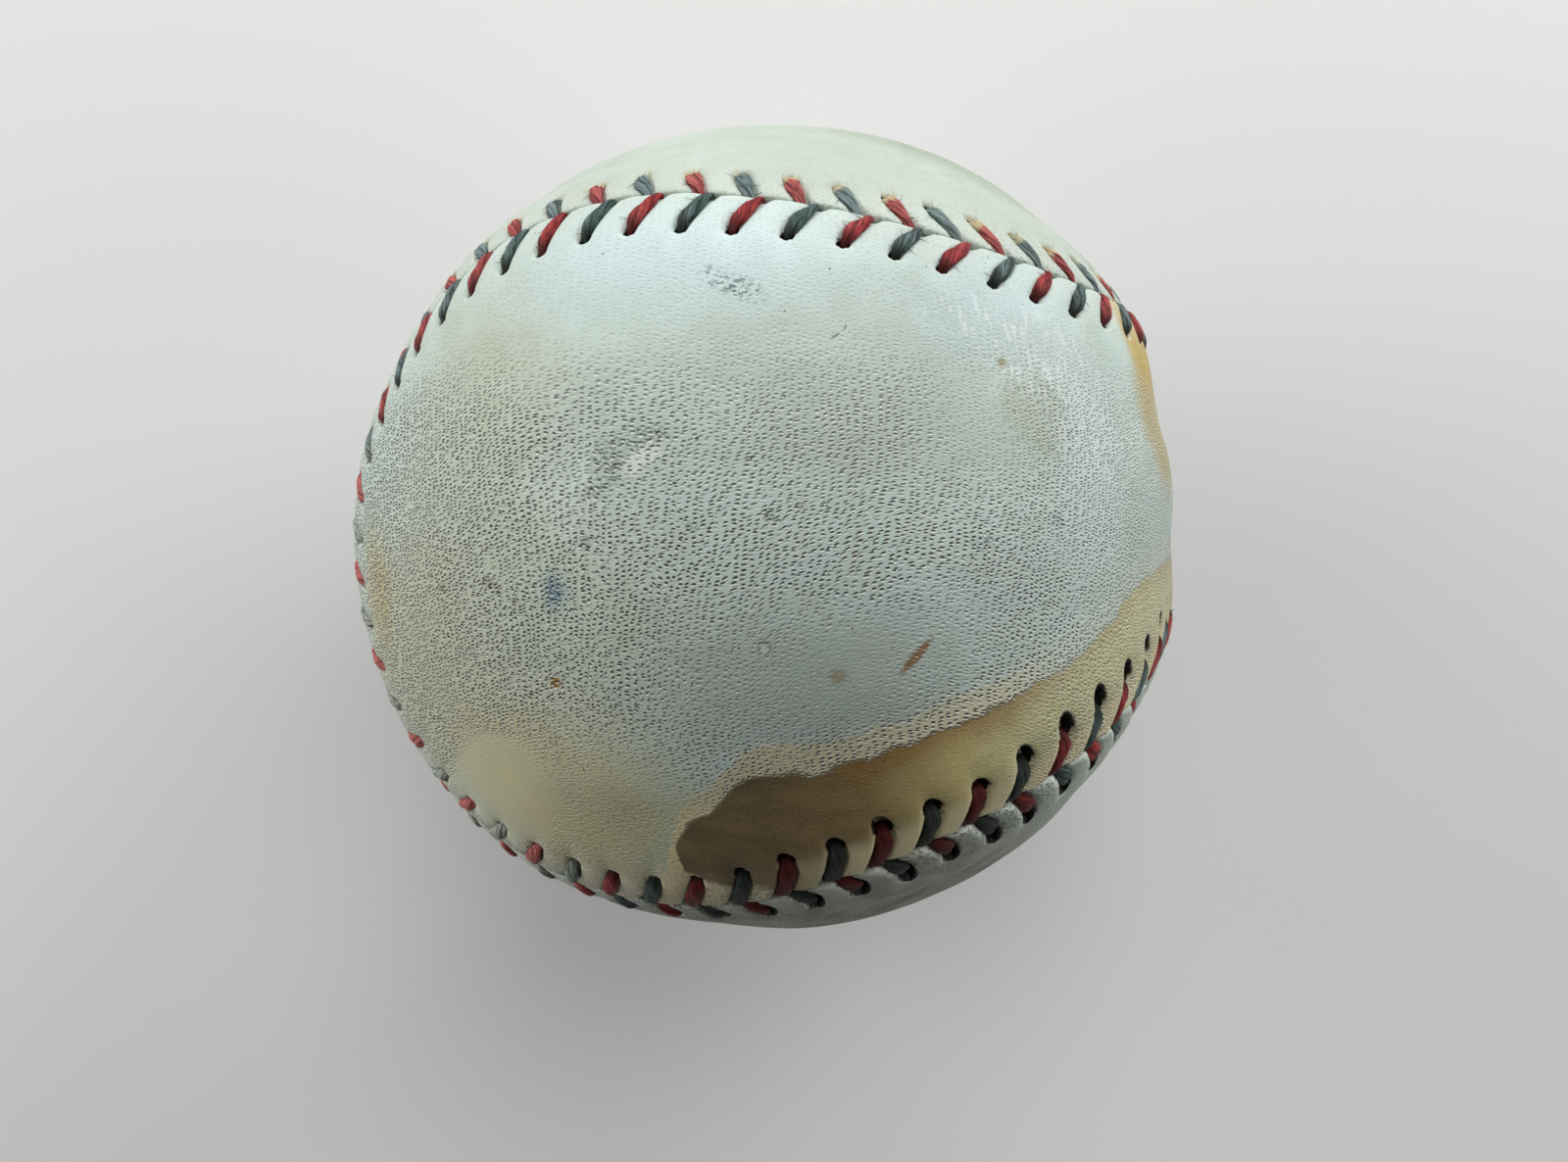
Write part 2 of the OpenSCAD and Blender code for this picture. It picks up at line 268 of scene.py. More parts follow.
def relief(side, j, away, d, out):
    """Height of the leather over the plain ball, and how far it is sunk in a groove or hole, which the
    leather's colour paints as shade.
    """
    draws = DRAWS[side][j % STITCHES]
    loose = looseness(out)
    open_share = loose * draws["reach"]
    # Groove that the leg presses into the leather, from the hole to the seam
    groove_len = 1 - smooth(HOLE_INSET - 0.1 * MM, HOLE_INSET + 0.6 * MM, d)
    groove = exp(-(away / (blend(*GROOVE_HALF_W, loose) * MM)) ** 6) * groove_len
    # Hole past the end of the leg, drawn out where the stitch is loose, and the painted shade in it, a
    # little wider than the hole
    hole_mid = HOLE_INSET + blend(*HOLE_SHIFT, open_share) * MM
    hole_long = blend(*HOLE_HALF_L, open_share) * MM
    hole_r = hypot(away / (blend(*HOLE_HALF_W, loose) * MM), (d - hole_mid) / hole_long)
    hole = 1 - smooth(0.75, 1.1, hole_r)
    darkened = 1 - smooth(0.8, 1.1, hole_r / blend(1, 1.3, loose))
    # Leather that puffs up between two legs, steepest beside a leg where the stitch is loose
    between = 0.5 - 0.5 * cos(2 * pi * away / PITCH)
    turn = away / PITCH % 1
    steep = smooth(0.1, 0.25, turn) * (1 - smooth(0.28, 1, turn))
    near = smooth(6.5 * MM, 2.0 * MM, d)
    puff = blend(between, steep, loose)
    # Dent round the hole, a short soft fold past it, and the frayed edge
    dent = exp(-(away / (1.0 * MM)) ** 2 - ((d - hole_mid) / (1.5 * MM)) ** 2) * draws["pucker"]
    fold_away = away - draws["skew"] * (d - HOLE_INSET)
    fold_len = smooth(HOLE_INSET, HOLE_INSET + 0.9 * MM, d) * smooth(
        HOLE_INSET + 3.0 * MM * draws["pucker"], HOLE_INSET + 1.0 * MM, d)
    fold = exp(-(fold_away / (0.55 * MM)) ** 2) * fold_len * draws["pucker"]
    fray = noise.noise(out * 90) * smooth(2.2 * MM, 0.3 * MM, d)
    height = ridge(d) + swell(out) + blend(*FRAY_H, loose) * MM * fray
    height += blend(*PUFF_H, loose) * MM * (puff - 0.5) * near
    height -= blend(*GROOVE_DEPTH, loose) * MM * draws["pull"] * groove * (1 - hole)
    height -= blend(*HOLE_DEPTH, loose) * MM * hole
    height -= DENT_DEPTH * MM * dent + FOLD_DEPTH * MM * fold
    return height, min(darkened + 0.3 * groove, 1)


# Half the gap between the panels, in millimetres: between stitches, more at a leg, and its raggedness
GAP_CLOSED = 0.06
GAP_AT_LEG = 0.2
GAP_RAGGED = 0.03


def edge_gap(away, out):
    """Half the gap between the panels: closed between the stitches, open at the legs."""
    pinch = exp(-(away / (0.55 * MM)) ** 2)
    return (GAP_CLOSED + GAP_AT_LEG * pinch + GAP_RAGGED * noise.noise(out * 60)) * MM


# Cover panels

PER_STITCH = 16
STATIONS = STITCHES * PER_STITCH
ROUND_STEPS = 5
FINE_STEP = 0.21 * MM
FINE_END = 5.2 * MM
STEP_GROWTH = 1.25
# Edges at each end of a lobe that the grid over its middle has as its short side, face and back
FACE_RAIL = 24
BACK_RAIL = 6
RELAX_ROUNDS = 40


def face_profile():
    """Distance past the panel's edge and depth under its face, ring by ring."""
    rings = [(0, EDGE_SKIRT), (0, (EDGE_SKIRT + EDGE_ROUND) / 2)]
    for k in range(ROUND_STEPS + 1):
        a = pi / 2 * k / ROUND_STEPS
        rings.append((EDGE_ROUND * (1 - cos(a)), EDGE_ROUND * (1 - sin(a))))
    d, step = EDGE_ROUND, FINE_STEP
    while d + step < RIDGE_FOOT:
        d += step
        rings.append((d, 0))
        step *= STEP_GROWTH if d > FINE_END else 1
    return rings + [(RIDGE_FOOT, 0)]


def edge_station(edge, station):
    low, high = sorted(v[station] for v in edge.verts)
    return high if high - low > 1 else low


def fill_middle(bm, ring, station, rail, radius):
    """Fills the ring with a grid whose rows run from one long side to the other, evened out."""
    half = STATIONS // 2
    sides = [e for e in ring if rail // 2 <= edge_station(e, station) % half < half - rail // 2]
    rim = {v for e in ring for v in e.verts}
    faces = bmesh.ops.grid_fill(bm, edges=sides, use_smooth=True, use_interp_simple=False)["faces"]
    inner = list({v for f in faces for v in f.verts} - rim)
    for _ in range(RELAX_ROUNDS):
        bmesh.ops.smooth_vert(bm, verts=inner, factor=0.5, use_axis_x=True, use_axis_y=True, use_axis_z=True)
        for v in inner:
            v.co *= radius / v.co.length
    return inner


def next_ring(bm, edges):
    """A ring of edges extruded from another, as its vertices and its edges."""
    made = bmesh.ops.extrude_edge_only(bm, edges=edges)["geom"]
    verts = [g for g in made if isinstance(g, bmesh.types.BMVert)]
    new = set(verts)
    return verts, [g for g in made if isinstance(g, bmesh.types.BMEdge) and new.issuperset(g.verts)]


def station_away(k):
    """Distance of a stitch's station k from its leg: closest together beside the leg."""
    u = 2 * k / PER_STITCH - 1
    return PITCH / 2 * (0.42 * u + 0.58 * u ** 3)


def cover_panel(name, side, first):
    """One leather panel, its face and back grown ring by ring from the edge at the seam."""
    bm = bmesh.new()
    station = bm.verts.layers.int.new("station")
    sunk = bm.verts.layers.float.new("sunk")
    rim = bm.verts.layers.float.new("rim")
    lines = [(first + i // PER_STITCH, station_away(i % PER_STITCH))
             for i in range(STATIONS)]
    for i, v in enumerate(bmesh.ops.create_circle(bm, segments=STATIONS, radius=COVER_R)["verts"]):
        v[station] = i
    edge_ring = bm.edges[:]

    def out_at(v, d):
        j, away = lines[v[station]]
        return drawn(side, leg_s(side, j, away, min(d / HOLE_INSET, 1)), d)

    def shape(verts, past_edge, depth):
        for v in verts:
            j, away = lines[v[station]]
            d = past_edge + edge_gap(away, out_at(v, 0)) * smooth(2 * MM, 0, past_edge)
            out = out_at(v, d)
            height, v[sunk] = relief(side, j, away, d, out)
            v[rim] = smooth(5 * MM, 0.5 * MM, past_edge)
            # Where the stitches are tight the two edges meet flush, with hardly a groove
            flush = 1 if depth > EDGE_ROUND else blend(FLUSH, 1, looseness(out))
            v.co = out * (COVER_R + height - depth * flush)

    rings = face_profile()
    shape(list(bm.verts), *rings[0])
    ring = edge_ring
    for past_edge, depth in rings[1:]:
        verts, ring = next_ring(bm, ring)
        shape(verts, past_edge, depth)
    for v in fill_middle(bm, ring, station, FACE_RAIL, COVER_R):
        out = v.co.normalized()
        v.co = out * (COVER_R + swell(out))
    ring = edge_ring
    for d in (HOLE_INSET, (HOLE_INSET + RIDGE_FOOT) / 2, RIDGE_FOOT):
        verts, ring = next_ring(bm, ring)
        for v in verts:
            out = out_at(v, d)
            v.co = out * max(COVER_IN_R, COVER_R + ridge(d) + swell(out) - LEATHER_T)
    fill_middle(bm, ring, station, BACK_RAIL, COVER_IN_R)
    bmesh.ops.recalc_face_normals(bm, faces=bm.faces)
    return finished(bm, name)


def finished(bm, name):
    """The bmesh as a smooth-shaded object at the origin."""
    for face in bm.faces:
        face.smooth = True
    mesh = bpy.data.meshes.new(name)
    bm.to_mesh(mesh)
    bm.free()
    return placed(name, mesh)


# Threads

THREAD_SIDES = 30
LEG_RINGS = 20
BED_RINGS = 4
PLIES = 3
PLY_TWIST = 8.5 * MM
PLY_RAGGED = 0.16
THREAD_HALF_W = 0.64 * MM
THREAD_HALF_T = 0.36 * MM
SEAM_PASS = 0.45 * MM
BED_R = CEMENT_R + 0.4 * MM
ARCH_POWER = 3.4
LOOSE_WIDER = 1.2
LOOSE_SINK = 0.14
# Share of the half width at the hole and at the crease, at the upper seam and the lower, by side
AT_HOLE = {1: (0.5, 0.75), -1: (0.95, 0.35)}
AT_CREASE = {1: (0.3, 0.85), -1: (0.55, 0.75)}


def thread_places(j, side):
    """Place, width axis, half width, half thickness, wear, darkness and paleness of each ring of stitch j.
    """
    hole = drawn(side, leg_s(side, j, 0, 1), HOLE_INSET)
    end = drawn(side, leg_s(side, j, 0, 0), 0)
    wide = hole.cross(end).normalized()
    fray = DRAWS[side][j % STITCHES]["pucker"]
    low = lowness(end)
    # Legs darker along the middle of the lower seam
    darkening = low * smooth(-0.6, 0, end.x) * smooth(0.8, 0.4, end.x)
    far_left, far_right = smooth(-0.6, -0.85, end.x), smooth(0.6, 0.9, end.x)
    pale = 0.7 * max(smooth(-0.45, -0.6, end.x), far_right) if side > 0 else 1 - low
    sink = (0.1 * far_left - 0.15 * far_right if side > 0 else 0.3 * max(far_left, far_right)) * MM
    at_hole, at_crease = blend(*AT_HOLE[side], low), blend(*AT_CREASE[side], low)
    rings = []
    for k in range(LEG_RINGS + 1):
        a = pi * k / LEG_RINGS
        c = cos(a)
        x = 0.5 - 0.5 * copysign(abs(c) ** (2 / ARCH_POWER), c)
        up = sin(a) ** (2 / ARCH_POWER)
        d = HOLE_INSET * (1 - x) - SEAM_PASS * smooth(0.6, 1, x)
        out = drawn(side, leg_s(side, j, 0, 1 - x), d)
        loose = looseness(out)
        top = COVER_R + ridge(d) + swell(out) - LOOSE_SINK * loose * (1 - far_right) * MM - sink
        centre = out * blend(BED_R, top, up)
        half_w = THREAD_HALF_W * blend(1, LOOSE_WIDER, loose) * blend(
            at_hole, 1, smooth(0, 0.35, x)) * blend(1, at_crease, smooth(0.5, 1, x))
        half_t = THREAD_HALF_T * blend(0.8, 1, smooth(0, 0.3, x)) * blend(1, 0.6, smooth(0.7, 1, x))
        wear = 0 if side > 0 else (1 - low) * fray * smooth(0.5, 0.15, x)
        # Painted shade where a leg on panel a goes down into its hole
        darkness = smooth(0.4, 0.08, x) if side > 0 else 0
        rings.append((centre, wide, half_w, half_t, min(wear, 1), max(darkness, darkening), pale))
    return rings


def thread_path(first_side):
    """Rings of a whole thread, which swaps sides at every stitch."""
    path = []
    for j in range(STITCHES):
        side = first_side if j % 2 == 0 else -first_side
        leg = thread_places(j, side)
        if path:
            if path[-1][1].dot(leg[0][1]) < 0:
                leg = [(ring[0], -ring[1]) + ring[2:] for ring in leg]
            path += [tuple(blend(a, b, k / BED_RINGS) for a, b in zip(path[-1], leg[0]))
                     for k in range(1, BED_RINGS)]
        path += leg
    return path


def ply_shape(angle):
    """Share of the radius at an angle round the plies: full on a ply, less in the grooves."""
    return 0.68 + 0.32 * abs(cos(PLIES / 2 * angle)) ** 0.6


THREAD_LAYERS = ("fibre_x", "fibre_y", "run", "wear", "darkness", "pale", "groove")
HAIR_R = 0.045 * MM
HAIR_STEPS = 3
HAIR_TAPER = 0.62
HAIR_SHARE = 0.3
LEFTWARD_SHARE = 0.72
TUFT_RING = 6
TUFT_HAIRS = 10


def fill_layers(bm, v, values):
    for label, value in zip(THREAD_LAYERS, values):
        v[bm.verts.layers.float[label]] = value


def hair(bm, root, reach, curl, values):
    """One loose fibre: three-sided, tapered and bent."""
    turn = reach.to_track_quat("Z", "Y").to_matrix().to_4x4()
    place = Matrix.Translation(root) @ turn
    ring = bmesh.ops.create_circle(bm, segments=3, radius=HAIR_R, matrix=place)["verts"]
    made = list(ring)
    edges = list({e for v in ring for e in v.link_edges})
    for k in range(HAIR_STEPS):
        ring, edges = next_ring(bm, edges)
        bmesh.ops.translate(bm, verts=ring, vec=(reach + curl * k) / HAIR_STEPS)
        middle = sum((v.co for v in ring), Vector()) / 3
        bmesh.ops.scale(bm, verts=ring, vec=(HAIR_TAPER,) * 3, space=Matrix.Translation(-middle))
        made += ring
    for v in made:
        fill_layers(bm, v, values)


def add_hairs(bm, path, seed):
    """Fibres that stand off the legs, most of them towards the left of the view."""
    draw = random.Random(seed)
    leg_rings = [i for i, ring in enumerate(path) if ring[0].length > COVER_R + 0.3 * RIDGE_H]
    for i in leg_rings:
        if draw.random() > HAIR_SHARE:
            continue
        centre, wide, half_w, half_t, wear, darkness, pale = path[i]
        way = copysign(1, -wide.x) * (1 if draw.random() < LEFTWARD_SHARE else -1)
        out = centre.normalized()
        along = wide.cross(out)
        reach = (wide * way + along * draw.uniform(-0.9, 0.9) + out * draw.uniform(0.0, 0.5)).normalized()
        curl = (along * draw.uniform(-0.5, 0.5) - out * draw.uniform(0.0, 0.4)) * draw.uniform(0.1, 0.4) * MM
        root = centre + wide * (way * half_w * 0.75) + out * half_t * 0.2
        hair(bm, root, reach * draw.uniform(0.3, 1.1) * MM, curl, (1, 0, i * MM, wear, darkness, 0, 0.6))


def add_tufts(bm, first_side, seed):
    """Pale frayed ends at panel b's holes along the upper seam."""
    draw = random.Random(seed)
    for j in range(STITCHES):
        side = first_side if j % 2 == 0 else -first_side
        leg = thread_places(j, side)
        centre, wide, half_w, half_t = leg[TUFT_RING][:4]
        out = centre.normalized()
        away = (leg[TUFT_RING - 2][0] - leg[TUFT_RING + 4][0]).normalized()
        away = (away - out * away.dot(out)).normalized()
        if side > 0 or lowness(out) > 0.1:
            continue
        for _ in range(TUFT_HAIRS):
            across = draw.uniform(-0.9, 0.9)
            root = centre + wide * (across * half_w) + out * (half_t * draw.uniform(0.2, 0.9))
            reach = away + wide * (0.35 * across + draw.uniform(-0.25, 0.25))
            reach += out * draw.uniform(-0.05, 0.12)
            curl = (wide * draw.uniform(-0.4, 0.4) - out * 0.2) * draw.uniform(0.1, 0.3) * MM
            reach = reach.normalized() * draw.uniform(0.55, 1.15) * MM
            hair(bm, root, reach, curl, (1, 0, j * MM, 1, 0, 0, 0))


def thread(name, first_side, seed):
    """One thread round the whole seam: its twisted plies, its loose fibres and its frayed ends."""
    path = thread_path(first_side)
    bm, loose = bmesh.new(), bmesh.new()
    for made in (bm, loose):
        for label in THREAD_LAYERS:
            made.verts.layers.float.new(label)
    bmesh.ops.create_grid(bm, x_segments=len(path) - 1, y_segments=THREAD_SIDES, size=1)
    rows = sorted(bm.verts, key=lambda v: (round((v.co.x + 1) / 2 * (len(path) - 1)), v.co.y))
    length = 0
    for i, (centre, wide, half_w, half_t, wear, darkness, pale) in enumerate(path):
        before, after = path[max(i - 1, 0)][0], path[min(i + 1, len(path) - 1)][0]
        if i:
            length += (centre - before).length
        forward = (after - before).normalized()
        thick = wide.cross(forward).normalized()
        wide = forward.cross(thick)
        for k in range(THREAD_SIDES + 1):
            v = rows[i * (THREAD_SIDES + 1) + k]
            angle = 2 * pi * k / THREAD_SIDES
            ply = angle - 2 * pi * length / PLY_TWIST
            fibre = Vector((2.4 * cos(ply), 2.4 * sin(ply), length / (0.7 * MM)))
            r = ply_shape(ply) * (1 + PLY_RAGGED * noise.noise(fibre))
            v.co = centre + wide * (half_w * r * cos(angle)) + thick * (half_t * r * sin(angle))
            fill_layers(bm, v, (cos(ply), sin(ply), length, wear, darkness, pale, 1 - ply_shape(ply)))
    bmesh.ops.remove_doubles(bm, verts=bm.verts, dist=0.0001 * MM)
    ends = [e for e in bm.edges if e.is_boundary]
    bmesh.ops.holes_fill(bm, edges=ends, sides=0)
    bmesh.ops.recalc_face_normals(bm, faces=bm.faces)
    add_hairs(loose, path, seed)
    add_tufts(loose, first_side, seed)
    loose_mesh = bpy.data.meshes.new(name + "_hairs")
    loose.to_mesh(loose_mesh)
    loose.free()
    bm.from_mesh(loose_mesh)
    bpy.data.meshes.remove(loose_mesh)
    return finished(bm, name)


# Stage

def lamp(name, place, size, power):
    data = bpy.data.lights.new(name, "AREA")
    data.shape = "DISK"
    data.size = size
    data.energy = power
    made = placed(name, data)
    made.location = place
    made.rotation_euler = (-Vector(place)).to_track_quat("-Z", "Y").to_euler()


# Soft lights low round the ball, as by a window, with the middle of the face left darker
lamp("right_soft", (0.36, 0.30, 0.17), 0.34, 1.3)
lamp("left_soft", (-0.45, 0.165, 0.14), 0.34, 1.35)
lamp("top_soft", (0.0, 0.50, 0.12), 0.3, 0.98)
lamp("high_soft", (0.06, 0.26, 0.43), 0.3, 0.55)
lamp("low_left_soft", (-0.44, -0.15, 0.20), 0.3, 0.42)
lamp("low_right_soft", (0.43, -0.08, 0.25), 0.3, 0.38)
studio = bpy.data.worlds.new("studio")
studio.use_nodes = True
background = studio.node_tree.nodes["Background"].inputs
background["Color"].default_value = (1, 1, 1, 1)
background["Strength"].default_value = 0.02
bpy.context.scene.world = studio
bpy.context.scene.view_settings.view_transform = "Standard"


# Materials

def paint(code):
    """A colour written as six hexadecimal digits, as the shader wants it."""
    channels = [int(code[i:i + 2], 16) / 255 for i in (0, 2, 4)]
    return tuple(c / 12.92 if c < 0.04045 else ((c + 0.055) / 1.055) ** 2.4 for c in channels) + (1,)


def maths(operation, a, b=0.0):
    return node(a if isinstance(a, Number) else b, "Math", {0: a, 1: b}, operation=operation)[0]


def vector_maths(operation, a, b=(0, 0, 0), output=0):
    return node(a, "VectorMath", {0: a, 1: b}, operation=operation)[output]


class Number:
    """A shader node's output, with which sums can be written."""
    worked = staticmethod(maths)

    def __init__(self, socket):
        self.socket, self.tree = socket, socket.id_data

    def __add__(self, other):
        return self.worked("ADD", self, other)

    def __sub__(self, other):
        return self.worked("SUBTRACT", self, other)

    def __rsub__(self, other):
        return self.worked("SUBTRACT", other, self)

    def __mul__(self, other):
        return self.worked("MULTIPLY", self, other)

    def __truediv__(self, other):
        return self.worked("DIVIDE", self, other)


class Triple(Number):
    """The same for a place or a colour."""
    worked = staticmethod(vector_maths)


class Outputs:
    """A shader node's outputs, by name or number."""

    def __init__(self, made):
        self.made = made

    def __getitem__(self, label):
        socket = self.made.outputs[label]
        return Number(socket) if socket.type == "VALUE" else Triple(socket)


def node(where, kind, inputs=None, **settings):
    """A shader node in a tree, or in that of another node's output, its inputs set or linked."""
    tree = where.tree if isinstance(where, Number) else where
    made = tree.nodes.new(kind if "Group" in kind else "ShaderNode" + kind)
    for name, value in settings.items():
        setattr(made, name, value)
    for label, value in (inputs or {}).items():
        if isinstance(value, Number):
            tree.links.new(value.socket, made.inputs[label])
        else:
            made.inputs[label].default_value = value
    return Outputs(made)


def attribute(place, name):
    return node(place, "Attribute", attribute_name=name)["Fac"]


def xyz(place):
    return node(place, "SeparateXYZ", {0: place})


def channels(colour):
    return node(colour, "SeparateColor", {0: colour})


def length(place):
    return vector_maths("LENGTH", place, output="Value")


def fade(value, low, high):
    """0 below low, 1 above high, and an even curve between them."""
    return node(value, "MapRange", {"Value": value, "From Min": low, "From Max": high},
                interpolation_type="SMOOTHSTEP")["Result"]


def mix(share, a, b):
    """Colour a with a share of colour b, each a node's output or written as its code."""
    a, b = (paint(c) if isinstance(c, str) else c for c in (a, b))
    return node(share, "Mix", {0: share, 6: a, 7: b}, data_type="RGBA")[2]


def layered(colour, *layers):
    """The colour with others laid over it, each where its mask is."""
    for mask, shade in layers:
        colour = mix(mask, colour, shade)
    return colour


def cloud(place, size, detail=3.0, rough=0.5):
    """Noise from 0 to 1 whose features are about size across, in metres."""
    return node(place, "TexNoise", {
        "Vector": place, "Scale": 1 / size, "Detail": detail, "Roughness": rough})["Fac"]


def stretched(place, scale, turn=(0, 0, 0)):
    return node(place, "Mapping", {"Vector": place, "Scale": scale, "Rotation": turn})[0]


def swayed(place, size, reach, detail=2.0):
    """A place moved about by noise of a given size, as far as reach."""
    wave = node(place, "TexNoise", {"Vector": place, "Scale": 1 / size, "Detail": detail})
    return place + (wave["Color"] - (0.5, 0.5, 0.5)) * (reach, reach, reach)


def material(name, plain):
    """A new material with the plain values of its shader, and the object's coordinates in it."""
    mat = bpy.data.materials.new(name)
    mat.use_nodes = True
    for label, value in plain.items():
        mat.node_tree.nodes["Principled BSDF"].inputs[label].default_value = value
    return mat, node(mat.node_tree, "TexCoord")["Object"]


def coated(mat, colour, height=None, depth=0, roughness=None):
    """The material with its colour, its relief of a depth in metres, and a roughness that varies."""
    tree = mat.node_tree
    fed = {"Base Color": colour, "Roughness": roughness}
    if height:
        fed["Normal"] = node(tree, "Bump", {"Height": height, "Distance": depth})[0]
    for label, value in fed.items():
        if value:
            tree.links.new(value.socket, tree.nodes["Principled BSDF"].inputs[label])
    return mat


# Sockets of the groups that hold a place or its like, where the others hold a number
PLACES = ("Place", "Flat", "Centre", "Stretch")


def group(name, inputs, outputs):
    """The inputs of a new node group, whose outputs are still to be fed."""
    tree = bpy.data.node_groups.new(name, "ShaderNodeTree")
    for in_out, labels in (("INPUT", inputs), ("OUTPUT", outputs)):
        for label in labels.split():
            kind = "NodeSocketVector" if label in PLACES else "NodeSocketFloat"
            tree.interface.new_socket(name=label, in_out=in_out, socket_type=kind)
    return node(tree, "NodeGroupInput")


def closed(**outputs):
    """The node group whose outputs these are."""
    tree = next(iter(outputs.values())).tree
    node(tree, "NodeGroupOutput", outputs)
    return tree


def grown(what, **inputs):
    """A copy of a node group, in the material of the outputs that feed it."""
    tree = next(value.tree for value in inputs.values() if isinstance(value, Number))
    return node(tree, "ShaderNodeGroup", inputs, node_tree=what)


def unrolled_group():
    """Flat coordinates on the leather, in metres from the middle of a lobe that lies on +Z or -Z."""
    place = group("unrolled", "Place", "Flat")["Place"]
    across = place * (1, 1, 0)
    reach = maths("MAXIMUM", length(across), 0.001 * MM)
    angle = maths("ARCTAN2", reach, maths("ABSOLUTE", xyz(place)["Z"]))
    return closed(Flat=node(place, "VectorMath", {
        0: across, "Scale": angle * COVER_R / reach}, operation="SCALE")[0])


def oval(x, y, half_w, half_h, soft):
    """Mask of an oval round the origin, with a soft edge."""
    reach = node(x, "CombineXYZ", {0: x / half_w, 1: y / half_h})[0]
    return 1.0 - fade(length(reach), 1.0 - soft, 1.0)


# Grain of the leather: one pit's column and row, and the three sways that bend the rows
PIT_W = 0.56 * MM
PIT_H = 0.33 * MM
SWAYS = ((26 * MM, 8 * MM, 0.0), (4 * MM, 1.2 * MM, 2.0), (0.8 * MM, 0.14 * MM, 2.0))


def grain_group():
    """Small dished pits in wavy columns, a raised lip under each, and fine skin between them."""
    given = group("leather_grain", "Flat Place Pebbling", "Height Pits Lips")
    flat = given["Flat"]
    for size, reach, detail in SWAYS:
        flat = swayed(flat, size, reach, detail)
    cells = flat * (1 / PIT_W, 1 / PIT_H, 0)
    cells = cells + node(cells, "CombineXYZ", {1: xyz(cells)["X"] * 0.5})[0]
    cell = node(cells, "TexVoronoi", {"Vector": cells, "Scale": 1.0, "Randomness": 0.55},
                voronoi_dimensions="2D")
    away, chance = xyz(cells - cell["Position"]), channels(cell["Color"])
    x = away[0]
    bent = away[1] + (x * (chance[1] * 0.6 - 1.0) + x * x * 0.9)
    strength = fade(chance[0], -0.25, 0.5) * given["Pebbling"]
    pit = oval(x, bent, 0.4, 0.27, 0.6) * strength
    lip = oval(x, bent + 0.46, 0.48, 0.32, 0.7) * strength
    skin = cloud(given["Place"], 0.2 * MM, 4.0, 0.65)
    return closed(Height=skin * 0.5 + lip * 0.8 - pit, Pits=pit, Lips=lip)


def spot_group():
    """Mask of a ragged spot round a place, which can be broken up into strokes."""
    given = group("spot", "Place Centre Stretch Turn Radius Edge Ragged Broken", "Mask")
    place, radius, edge = given["Place"], given["Radius"], given["Edge"]
    away = node(place, "VectorRotate", {
        "Vector": place - given["Centre"], "Angle": given["Turn"]}, rotation_type="Z_AXIS")[0]
    rough = node(place, "TexNoise", {
        "Vector": place, "Scale": maths("DIVIDE", 2.2, radius), "Detail": 4.0, "Roughness": 0.6})["Fac"]
    share = length(away * given["Stretch"]) / radius + (rough - 0.5) * given["Ragged"]
    mask = 1.0 - fade(share, 1.0 - edge, edge + 1.0)
    strokes = fade(cloud(stretched(place, (1, 1.9, 1), (0, 0, 0.5)), 0.45 * MM, 3.0, 0.65), 0.5, 0.57)
    return closed(Mask=mask * (1.0 - given["Broken"] * (1.0 - strokes)))


UNROLLED = unrolled_group()
GRAIN = grain_group()
SPOT = spot_group()


# Softness of the edge, raggedness, and how far it is broken up
SOFT = (0.6, 0.6, 0)
EVEN = (0.5, 0.5, 0)
CRISP = (0.3, 0.8, 0)
STREAKED = (0.4, 1.0, 0.8)
SCUFFED = (0.5, 1.2, 0.9)
FAINT = (0.4, 1.0, 0.9)
SPECK = ("1d211e", 0.95, 0.3, 0.4, 0)

